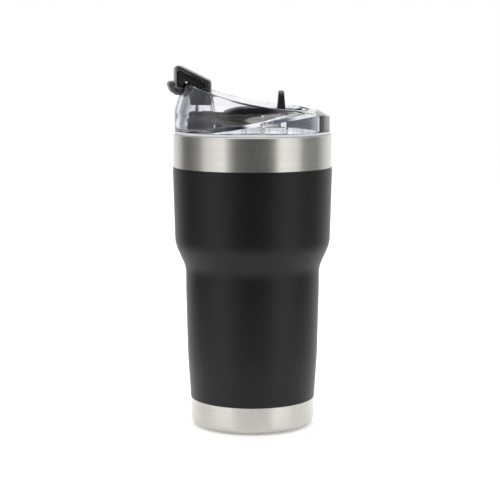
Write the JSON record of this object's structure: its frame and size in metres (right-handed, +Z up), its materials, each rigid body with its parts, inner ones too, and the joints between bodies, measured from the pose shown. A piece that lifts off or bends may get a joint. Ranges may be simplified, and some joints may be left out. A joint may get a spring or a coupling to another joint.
{
  "type": "insulated travel mug",
  "caption": "Double-wall vacuum steel travel mug with black powder coat and a clear push-in lid carrying a sliding drink gate and a flip-up latch over the pouring lip.",
  "frame": {"origin": "centre of the foot's underside, where the mug's axis meets the table", "axes": "+Z up along the mug's axis, the pouring lip and the latch point to -X"},
  "size_m": [0.0941, 0.0908, 0.2065],
  "materials": {
    "steel": "brushed",
    "coat": "matte",
    "copper": "satin",
    "solder_glass": "gloss",
    "getter_metal": "matte",
    "clear": "gloss",
    "black_plastic": "satin",
    "dark_plastic": "matte",
    "silicone": "matte",
    "black_silicone": "matte"
  },
  "bodies": {
    "mug": {"outer_shell": "steel", "powder_coat": "coat", "inner_liner": "steel", "liner_base": "steel", "copper_layer": "copper", "outer_base": "steel", "vacuum_seal": "solder_glass", "getter_holder": "steel", "getter_pellet": "getter_metal", "base_cover": "steel", "foot_pad": "black_silicone"},
    "seal_ring": {"lid_gasket": "silicone"},
    "lid": {"lid_shell": "clear", "lid_skirt": "clear", "slide_rails": "black_plastic", "latch_pin": "dark_plastic"},
    "slide": {"slider": "black_plastic", "slider_gate": "black_plastic", "slider_seal": "black_silicone"},
    "flip": {"latch": "black_plastic", "latch_core": "dark_plastic"}
  },
  "joints": [
    {"name": "lid_lift", "type": "slide", "parent": "mug", "child": "seal_ring", "axis": [0, 0, 1], "range_m": [0, 0.06]},
    {"name": "lid_turn", "type": "hinge", "parent": "seal_ring", "child": "lid", "pos_m": [0, 0, 0.168], "axis": [0, 0, 1], "continuous": true},
    {"name": "gate_slide", "type": "slide", "parent": "lid", "child": "slide", "axis": [0.9863, 0, 0.165], "range_m": [0, 0.012]},
    {"name": "latch_flip", "type": "hinge", "parent": "lid", "child": "flip", "pos_m": [-0.027, 0, 0.191], "axis": [0, 1, 0], "range_deg": [0, 90]}
  ]
}
